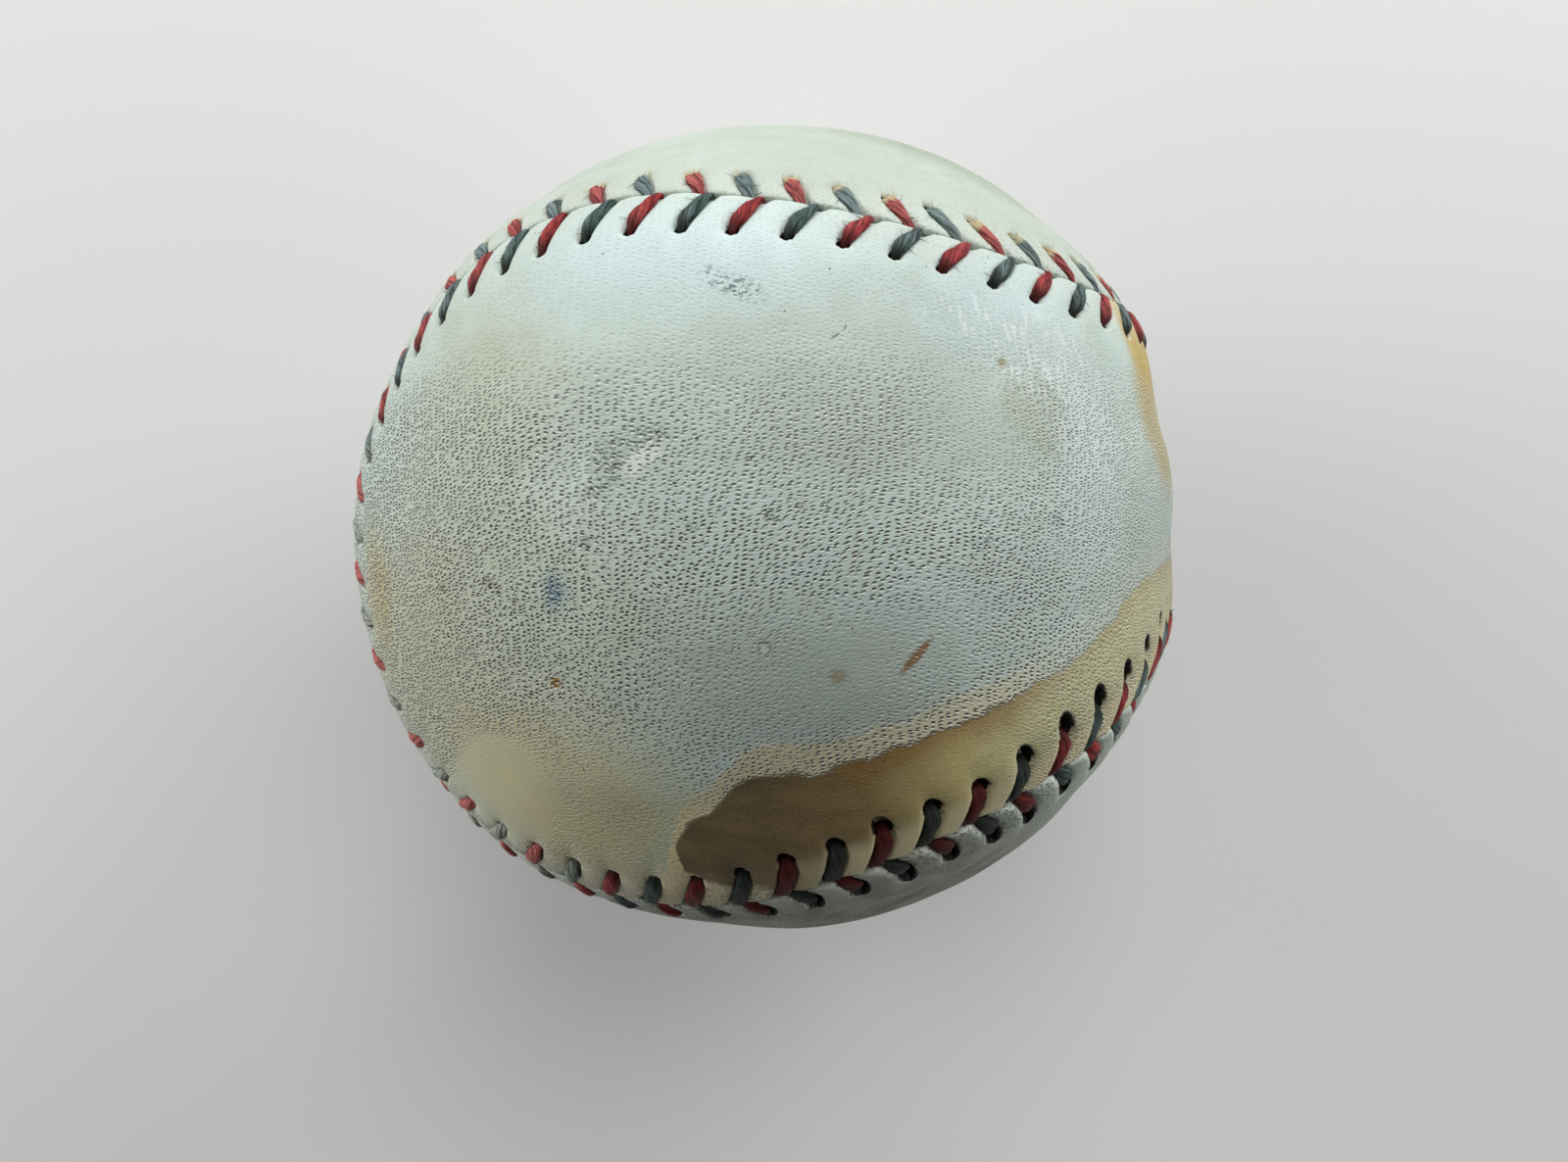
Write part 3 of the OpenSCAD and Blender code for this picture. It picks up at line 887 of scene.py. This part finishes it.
# Marks on the leather of panel a: pixel in the view, half width and half height in
# millimetres, turn in degrees, colour, strength, and the three terms above
MARKS = (
    # Ageing of the leather, in broad soft patches
    (930, 430, 11, 4.6, 8, "a9b2a6", 0.45, *SOFT),
    (800, 360, 13, 3, 0, "b4bfb4", 0.5, *SOFT),
    (520, 410, 8, 5, 0, "b9c0ae", 0.5, *SOFT),
    (1062, 425, 4.2, 3, 0, "a9b39e", 0.55, 0.3, 0.9, 0),
    (740, 425, 13, 3.6, 0, "aab5aa", 0.35, *SOFT),
    (470, 470, 7, 14, 0, "bcc2a6", 0.6, *SOFT),
    (560, 640, 10, 8, 0, "cbd0b6", 0.6, *SOFT),
    (830, 695, 10, 5, 0, "8c9185", 0.4, *SOFT),
    (430, 690, 9, 12, 0, "cdcaa4", 0.7, *SOFT),
    (560, 800, 11, 7, 0, "d3ca98", 0.8, *SOFT),
    (640, 850, 7, 4, 0, "a39f76", 0.6, *SOFT),
    (615, 890, 9, 6, -20, "c0b588", 0.65, *EVEN),
    (720, 905, 5, 4, 0, "c6bb94", 0.5, *EVEN),
    (480, 835, 7, 3.6, -38, "d8cd9a", 0.6, 0.3, 0.5, 0),
    (392, 596, 1.9, 4.5, 0, "d6c684", 0.55, 0.6, 0.9, 0),
    (394, 600, 1, 3.2, 0, "a4883c", 0.35, 0.5, 0.9, 0.6),
    # A painted highlight above the middle of the face, and patches rubbed whiter
    (700, 256, 12, 4.6, 0, "e0f4f4", 0.82, 0.6, 0.5, 0),
    (1010, 305, 8, 4, 20, "cfe2e4", 0.6, 0.6, 0.5, 0),
    (1112, 470, 3, 8, -8, "d4e2e2", 0.7, 0.4, 0.7, 0),
    (1060, 345, 5, 2.6, -25, "dbe9e8", 0.6, 0.4, 0.8, 0.5),
    (1010, 600, 9, 3, 20, "c3d2cc", 0.4, 0.5, 0.8, 0),
    # Yellowed strip at the right
    (1168, 398, 4.6, 8.5, 8, "c4b070", 0.85, 0.22, 0.35, 0),
    (1145, 348, 5.4, 5, 20, "c8ae62", 1, 0.2, 0.4, 0),
    # Rust, scuffs and specks
    (935, 670, 1.6, 0.34, 48, "926e38", 0.9, 0.35, 0.8, 0),
    (855, 690, 0.6, 0.5, 0, "9a8a5c", 0.6, 0.5, 1, 0),
    (567, 696, 0.5, 0.42, 0, "9c7010", 0.95, *CRISP),
    (780, 661, 0.5, 0.55, 0, "858c81", 0.8, 0.3, 0.4, 0),
    (780, 663, 0.32, 0.34, 0, "dfe6dd", 0.85, 0.3, 0.3, 0),
    (566, 604, 1.1, 1.5, 0, "98c4c2", 0.6, *SOFT),
    (565, 603, 0.65, 1.15, 0, "034a6c", 1, 0.25, 0.9, 0.65),
    (640, 465, 2.6, 1.7, 35, "8a9189", 0.6, *SCUFFED),
    (652, 448, 2.3, 0.7, 12, "525c5c", 0.85, 0.45, 1, 0.9),
    (622, 470, 1.3, 1.5, 40, "667068", 0.75, *SCUFFED),
    (612, 497, 1.5, 0.7, 20, "59646a", 0.8, *SCUFFED),
    (655, 468, 1.7, 0.75, 38, "e4ebe2", 0.85, 0.45, 0.8, 0.1),
    (757, 296, 2, 0.9, -25, "6d7b7d", 0.85, 0.4, 1.2, 1),
    (728, 284, 1, 0.9, -25, "6d7b7d", 0.8, 0.4, 1.2, 1),
    (745, 250, 1, 0.26, -20, "4c5757", 0.85, 0.5, 1, 0.4),
    (852, 343, 0.5, 0.09, 35, "5d6764", 0.8, 0.4, 0.4, 0),
    (862, 335, 0.3, 0.08, 70, "5d6764", 0.7, 0.4, 0.4, 0),
    (785, 525, 0.42, 0.5, 0, "48533f", 0.85, 0.3, 1, 0.8),
    (816, 516, 0.34, 0.3, 0, "6f5a35", 0.75, 0.3, 1, 0.7),
    (450, 600, 0.6, 0.5, 0, "42461f", 1, *STREAKED),
    (500, 594, 0.9, 0.5, 0, "4e5127", 1, *STREAKED),
    (510, 602, 0.4, 0.35, 0, "3a3c1c", 1, *STREAKED),
    (597, 555, 0.42, 0.6, 0, "5f6552", 0.8, *STREAKED),
    (708, 536, 0.7, 0.35, 0, "3f6a63", 0.7, *FAINT),
    (1080, 530, 0.6, 0.6, 0, "2c5467", 0.8, *FAINT),
    (1004, 553, 1.1, 0.6, 0, "56797a", 0.75, *FAINT),
    (1021, 371, 0.42, 0.4, 0, "9a8a4e", 0.8, *CRISP),
    (890, 288, 0.2, 0.2, 0, "8a7038", 0.8, *CRISP),
    (908, 294, 0.22, 0.2, 0, "8a7038", 0.8, *CRISP),
    (472, 458, 0.13, 0.12, 0, *SPECK),
    (571, 453, 0.11, 0.11, 0, *SPECK),
    (602, 453, 0.11, 0.12, 0, *SPECK),
    (711, 447, 0.14, 0.11, 0, *SPECK),
    (767, 467, 0.16, 0.11, 30, "2b1f14", 0.95, 0.3, 0.4, 0),
    (688, 493, 0.11, 0.1, 0, *SPECK),
    (629, 410, 0.12, 0.11, 0, *SPECK),
    (538, 533, 0.12, 0.12, 0, "2b2418", 0.95, 0.3, 0.4, 0),
)

# Darker leather of panel b at the right of the upper seam, and painted shade on its underside
MARKS_B = (
    (975, 160, 12, 5, -25, "9fae95", 0.8, *SOFT),
    (1075, 225, 7, 3, -45, "bcc9b0", 0.6, *SOFT),
    (1110, 262, 6, 5, -50, "9fb09f", 0.7, *SOFT),
    # Painted shade on the underside of panel b
    (800, 944, 14, 6, 0, "36372e", 0.9, 0.6, 0.5, 0),
    (920, 925, 9, 5, 20, "4a4b41", 0.85, 0.6, 0.5, 0),
    (830, 925, 17, 8, 12, "7a7458", 0.6, *EVEN),
)

# Where the grain is smoothed away: pixel in the view, half width and half height in
# millimetres, turn in degrees, strength and softness of the edge
CALM = (
    (516, 805, 8.9, 5, 45, 0.95, 0.18), (800, 690, 9, 5, 0, 0.55, 0.5),
    (1005, 430, 5, 4, 0, 0.6, 0.5), (910, 675, 8, 4, 15, 0.65, 0.5),
    (630, 850, 10, 10, 0, 0.75, 0.45),
)

# Where the leather is rubbed white in upright strokes, in the same terms
RUBBED = (
    (985, 325, 5, 1.6, -8, 0.5, 0.5), (1045, 362, 4.5, 3.2, -10, 0.5, 0.5),
    (1100, 400, 3.4, 5, -10, 0.4, 0.5), (1120, 520, 3.4, 6, -8, 0.4, 0.5),
)

# Tide line of the water stain: pixels that it passes through, from its left end to its right,
# and the line where its dark part ends towards the seam
TIDE = ((686, 905), (693, 858), (703, 842), (721, 832), (744, 806), (767, 791), (847, 783), (910, 762),
        (998, 728), (1059, 697), (1126, 639), (1167, 590), (1195, 568))
TIDE_FOOT = ((686, 845), (694, 868), (704, 882), (725, 893), (790, 900), (860, 912), (900, 960))


def spot(place, px, py, half_w, half_h, turn, edge, ragged, broken):
    """Mask of a spot that shows at a pixel of the view."""
    size = sqrt(half_w * half_h)
    stretch = (size / half_w, size / half_h, 1)
    return grown(SPOT, Place=place, Centre=at_pixel(px, py), Stretch=stretch, Turn=radians(-turn),
                 Radius=size * MM, Edge=edge, Ragged=ragged, Broken=broken)["Mask"]


def below_line(place, pixels):
    """How far a place lies below a line of pixels in the view, in metres."""
    line = [at_pixel(*p) for p in pixels]
    left, right = line[0].x, line[-1].x
    low, high = min(p.y for p in line), max(p.y for p in line)
    at = xyz(place)
    share = node(place, "MapRange", {"Value": at[0], "From Min": left, "From Max": right})
    curve = node(place, "FloatCurve", {"Value": share[0]})
    mapping = curve.made.mapping
    points = mapping.curves[0].points
    shares = [((p.x - left) / (right - left), (p.y - low) / (high - low)) for p in line]
    points[0].location, points[1].location = shares[0], shares[-1]
    for p in shares[1:-1]:
        points.new(*p)
    mapping.update()
    return node(place, "MapRange", {"Value": curve[0], "To Min": low, "To Max": high})[0] - at[1]


def rightwards(x, low, high):
    """0 left of one pixel of the view, 1 right of another."""
    return fade(x, at_pixel(*low).x, at_pixel(*high).x)


def leather(name, base, pole_turn, marks, darkened=False):
    """White cowhide, aged and marked, with painted highlights and shade on its grain and painted shade in
    the holes and grooves along the stitches. A turn brings its lobes to Z.
    """
    mat, place = material(name, {"Roughness": 0.5, "Specular IOR Level": 0.4})
    x, y = xyz(place)[0], xyz(place)[1]
    sunk, rim = attribute(place, "sunk"), attribute(place, "rim")
    patchy = fade(cloud(place, 2.4 * MM), 0.4, 0.7)
    colour = mix(fade(cloud(place, 9 * MM, 4.0), 0.35, 0.7), base[0], base[1])
    colour = mix(patchy * 0.3, colour, base[2])
    for *where, shade, strength, edge, ragged, broken in marks:
        colour = mix(spot(place, *where, edge, ragged, broken) * strength, colour, shade)
    colour = mix(rim * 0.3, colour, "e6efe4")
    if darkened:
        colour = mix(rim * fade(y, -16 * MM, -24 * MM) * 0.5, colour, "e4dab0")
        rubbed = fade(y, 6 * MM, 14 * MM)
    else:
        rubbed = maths("MAXIMUM", fade(y, 8 * MM, 26 * MM), fade(cloud(place, 16 * MM, 2.0), 0.35, 0.65))
    pebbling = (1.0 - rubbed * 0.85) * fade(cloud(place, 6 * MM, 2.0), 0.0, 0.5)
    # Wear on the shoulders of the grooves
    worn = fade(sunk, 0.02, 0.1) * fade(sunk, 0.3, 0.15) * fade(cloud(place, 0.8 * MM), 0.4, 0.55)
    if darkened:
        pebbling = pebbling * (fade(y, 3 * MM, -2 * MM) * 0.3 + fade(x, -10 * MM, -24 * MM) * 0.6 + 1.0)
        for *where, strength, edge in CALM:
            pebbling = pebbling * (1.0 - spot(place, *where, edge, 0.5, 0) * strength)
        upright = fade(cloud(stretched(place, (1, 0.25, 1)), 0.4 * MM, 2.0), 0.5, 0.66)
        for *where, strength, edge in RUBBED:
            colour = mix(spot(place, *where, edge, 0.7, 0) * upright * strength, colour, "f4fbfa")
        colour, calm = water_stain(place, x, rim, colour)
        pebbling, worn = pebbling * (1.0 - calm), worn * (1.0 - calm)
    flat = grown(UNROLLED, Place=stretched(place, (1, 1, 1), (pole_turn, 0, 0)))["Flat"]
    grain = grown(GRAIN, Flat=flat, Place=place, Pebbling=pebbling)
    speck = node(place, "TexVoronoi", {"Vector": place, "Scale": 1 / (1.5 * MM)})
    specks = fade(speck["Distance"], 0.075, 0.035) * fade(channels(speck["Color"])[0], 0.55, 0.75)
    # Painted highlights on the lips of the grain and painted shade in its pits, dark specks, wear, and
    # painted shade in the grooves and holes of the stitches, black in the holes
    colour = layered(
        colour, (grain["Lips"] * 0.95, "fdfdf6"), (grain["Pits"] * 0.8, "454a40"), (specks * 0.8, "35331f"),
        (worn * 0.7, "f0f3e6"), (fade(sunk, 0.15, 0.6) * 0.45, "7d7458"), (fade(sunk, 0.33, 0.6), "0f0c07"))
    return coated(mat, colour, grain["Height"], 0.1 * MM, patchy * 0.16 + 0.42)


def water_stain(place, x, rim, colour):
    """The colour with the brown stain over it, and how far the stain calms the grain."""
    wavy = swayed(swayed(place, 2.5 * MM, 1.8 * MM, 4.0), 0.5 * MM, 0.3 * MM)
    below = below_line(wavy, TIDE)
    along = rightwards(x, (700, 850), (1100, 700))
    far = rightwards(x, (1010, 720), (1100, 670))
    # Brown that pales to the right, mottled and streaked, and paler still at the panel's rim, partly the
    # stain's own paler edge and partly a painted highlight on the puffs between the legs
    depth = node(place, "ValToRGB", {"Fac": along})
    ramp = depth.made.color_ramp.elements
    ramp[0].color, ramp[1].color = paint("57452a"), paint("d0cd9c")
    ramp.new(0.42).color = paint("806a3f")
    ramp.new(0.75).color = paint("c8ba7c")
    streaky = stretched(place, (0.4, 1, 1), (0, 0, 0.15))
    brown = layered(
        depth[0], (fade(cloud(streaky, 1.6 * MM, 6.0, 0.68), 0.38, 0.66) * 0.25, "a08a58"),
        (fade(cloud(streaky, 0.9 * MM, 5.0, 0.7), 0.55, 0.7) * 0.3, "47371c"),
        (fade(rim, 0.0, 0.65) * rightwards(x, (770, 890), (890, 855)), "e6dbae"))
    # The dark part, the pale halo above it, the rusty band at its edge and the thin dark edge
    above_foot = 1.0 - fade(below_line(wavy, TIDE_FOOT), 0.0, 0.6 * MM)
    inside = fade(below, 0.0, 0.4 * MM) * above_foot
    halo = fade(below, -2.4 * MM, -1.4 * MM) * (0.75 - far * 0.6) * rightwards(
        xyz(wavy)["X"], (664, 870), (680, 870))
    band = fade(below, -0.1 * MM, 0.3 * MM) * (1.0 - fade(below, 0.5 * MM, 3.0 * MM)) * above_foot
    band = band * (0.55 - far * 0.4) * rightwards(x, (800, 790), (930, 755))
    edge = fade(below, -0.15 * MM, 0.05 * MM) * fade(below, 0.5 * MM, 0.1 * MM) * above_foot
    colour = layered(colour, (halo, mix(along, "d8c898", "e0dab4")), (inside * 0.95, brown),
                     (band, "8a5d1e"), (edge * (0.6 - far * 0.45), "4a3a1c"))
    return colour, inside * (0.95 - far * 0.5)


def lacing(name, colours, worn, darkening, bleached_and_lit):
    """Twisted waxed thread, worn pale at the tips, with painted shade in the grooves between its plies and
    along its strands, and painted highlights along its fibres.
    """
    mat, place = material(name, {"Roughness": 0.6, "Specular IOR Level": 0.25})
    fibre_x, fibre_y, run, wear, darkness, pale, groove = (attribute(place, label) for label in THREAD_LAYERS)
    fibres = node(place, "CombineXYZ", {
        0: fibre_x * 3.5, 1: fibre_y * 3.5, 2: run / (2.2 * MM)})[0]
    streaks = cloud(fibres, 1.0, 4.0, 0.65)
    strand = fade(maths("ABSOLUTE", cloud(fibres, 1 / 0.9, 1.0) - 0.5), 0.055, 0.015)
    pale_and_highlit = fade(cloud(place, 3.5 * MM, 2.0), 0.45, 0.7) * 0.45 + pale * 0.85
    # Painted highlights along the fibre streaks
    pale_and_highlit = maths("MINIMUM", pale_and_highlit + fade(streaks, 0.58, 0.7) * 0.5, 1.0)
    # The legs at the lower left of the view are bleached, with painted light over them
    at = xyz(place)
    low_left = fade(at[0], -13 * MM, -19 * MM) * fade(at[1], 10 * MM, 2 * MM)
    base, lighter, palest, darkest = colours
    # Painted shade in the grooves between the plies and along the strands, painted shade where a leg goes
    # into its hole, and legs darker along the lower seam
    colour = layered(
        mix(fade(streaks, 0.35, 0.65), base, lighter), (pale_and_highlit, palest),
        (fade(groove, 0.08, 0.24) * 0.75, darkest), (darkness * 0.88, darkening),
        (low_left * 0.85, bleached_and_lit), (strand * 0.8, darkest),
        (fade(wear + (streaks - 0.5) * 1.6, 0.45, 0.85), worn))
    return coated(mat, colour, streaks - strand * 0.6, 0.12 * MM)


def rubber(name, colours):
    """Moulded rubber, with a faint bloom and the marks of its powdered mould."""
    mat, place = material(name, {"Roughness": 0.6})
    bloom = fade(cloud(place, 3 * MM, 5.0, 0.6), 0.4, 0.75)
    return coated(mat, mix(bloom, *colours), cloud(place, 0.4 * MM, 4.0), 0.05 * MM, bloom * 0.3 + 0.45)


def cork():
    """Pressed granules of cork in a rubber binder."""
    mat, place = material("pressed_cork", {"Roughness": 0.85})
    granules = {"Vector": swayed(place, 1 * MM, 0.5 * MM), "Scale": 1 / (1.3 * MM)}
    cell = node(place, "TexVoronoi", granules)
    edge = node(place, "TexVoronoi", granules, feature="DISTANCE_TO_EDGE")
    colour = mix(channels(cell["Color"])[0], "8a5a30", "c08a52")
    colour = mix(fade(cloud(place, 0.3 * MM, 4.0), 0.45, 0.7) * 0.5, colour, "6b4324")
    gap = fade(edge["Distance"], 0.0, 0.09)
    return coated(mat, mix(gap, "3a2718", colour), gap + cloud(place, 0.25 * MM, 4.0), 0.12 * MM)


YARN_TURNS = 6


def yarn_group():
    """Strands wound round a ball one way after another, the later ones over the earlier."""
    given = group("wound_yarn", "Place Width", "Height Shade Fibre")
    place = given["Place"]
    bent = swayed(place, 14 * MM, 1.5 * MM)
    draw = random.Random(5)
    for k in range(YARN_TURNS):
        axis = Vector([draw.gauss(0, 1) for _ in range(3)]).normalized()
        across = vector_maths("DOT_PRODUCT", bent, axis, "Value") / given["Width"]
        number = maths("FLOOR", across)
        round_top = maths("SINE", (across - number) * pi)
        strand = node(place, "TexWhiteNoise", {"W": number + 37.0 * k},
                      noise_dimensions="1D")["Value"]
        if k == 0:
            height, shade = round_top, strand
            continue
        there = fade(cloud(place + (0.1 * k, 0.07 * k, 0.03), 11 * MM, 1.0), 0.5, 0.51)
        height = height * (1.0 - there) + (round_top + 0.5) * there
        shade = shade * (1.0 - there) + strand * there
    return closed(Height=height, Shade=shade, Fibre=cloud(place, 0.22 * MM, 4.0, 0.7))


YARN = yarn_group()


def wound(name, width, colours):
    """A winding of yarn of a given width."""
    mat, place = material(name, {"Roughness": 0.9, "Sheen Weight": 0.3})
    yarn = grown(YARN, Place=place, Width=width)
    dark, pale, fluff, gap = colours
    # Painted shade in the gaps between the strands
    colour = layered(mix(yarn["Shade"], dark, pale), (fade(yarn["Fibre"], 0.4, 0.7) * 0.4, fluff),
                     (fade(yarn["Height"], 0.45, 0.0), gap))
    return coated(mat, colour, yarn["Height"] + yarn["Fibre"] * 0.5, 0.4 * width)


COTTON_W = 0.45 * MM


def cement():
    """Rubber cement over the cotton, brushed on and gone amber."""
    mat, place = material("rubber_cement", {"Roughness": 0.35})
    yarn = grown(YARN, Place=place, Width=COTTON_W)
    brushed = fade(cloud(stretched(place, (1, 0.25, 1), (0.4, 0.2, 0.9)), 2.5 * MM, 4.0), 0.35, 0.7)
    colour = mix(yarn["Shade"] * 0.25, mix(brushed, "cdb880", "e2d6ac"), "f0e8cf")
    return coated(mat, colour, yarn["Height"] * 0.5 + brushed, 0.08 * MM, brushed * 0.3 + 0.25)


def floor():
    """The floor, pale to the camera and darker where it throws light back at the ball."""
    bm = bmesh.new()
    bmesh.ops.create_grid(bm, x_segments=1, y_segments=1, size=2,
                          matrix=Matrix.Translation((0, 0, cad_box[0].z)))
    made = finished(bm, "floor")
    mat, place = material("floor", {"Roughness": 0.8})
    ray = node(place, "LightPath")
    seen = maths("MAXIMUM", ray["Is Camera Ray"], maths(
        "MAXIMUM", ray["Is Glossy Ray"], ray["Is Transmission Ray"]))
    made.data.materials.append(coated(mat, mix(seen, "2b2f39", "f2f2f0")))


# Pieces

for piece, node_name, slot, mat in (
        (cover_panel("cover_panel_a_leather", 1, STITCHES // 4), "cover_panel_a", "cover_leather",
         leather("leather_a", ("c9dbd2", "d4e5dd", "c3cdb9"), 0, MARKS, True)),
        (cover_panel("cover_panel_b_leather", -1, 0), "cover_panel_b", "cover_leather",
         leather("leather_b", ("c7d4c6", "cfdbcf", "c2c8b0"), pi / 2, MARKS_B)),
        (thread("red_lacing", -1, 21), "red_thread", "red_thread",
         lacing("red_waxed_thread", ("a62a2e", "bd4142", "cd6b66", "551216"), "dccba0", "3c0e05", "e0807a")),
        (thread("dark_lacing", 1, 22), "dark_thread", "dark_thread",
         lacing("dark_waxed_thread", ("4a605c", "6b8582", "8fa3a2", "1b2825"), "d3cba8", "1d1b09",
                "c6cbbc"))):
    piece.data.materials.append(mat)
    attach(piece, "root")
    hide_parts(node_name)

black, red_gum = rubber("black_rubber", ("1d1f21", "34373a")), rubber("red_rubber", ("9c2f27", "b4483c"))
for node_name, mat in (
        ("cork_centre", cork()), ("black_rubber_shell_upper", black), ("black_rubber_shell_lower", black),
        ("rubber_gasket", red_gum), ("red_rubber_layer", red_gum),
        ("first_wool_winding", wound("grey_wool", 1.5 * MM, ("7d7f80", "9c9e9c", "b3b2aa", "3c3e40"))),
        ("second_wool_winding", wound("white_wool", 1.1 * MM, ("d8d3c4", "efeade", "f6f3ea", "8f8a7c"))),
        ("third_wool_winding", wound("fine_grey_wool", 0.9 * MM, ("868887", "a6a7a2", "bdbbb1", "454748"))),
        ("cotton_finish_winding", wound("cotton", COTTON_W, ("e3dece", "f1ecdf", "f8f5ec", "a09a88"))),
        ("cement_coat", cement())):
    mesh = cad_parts[node_name].data
    mesh.materials.clear()
    mesh.materials.append(mat)
floor()
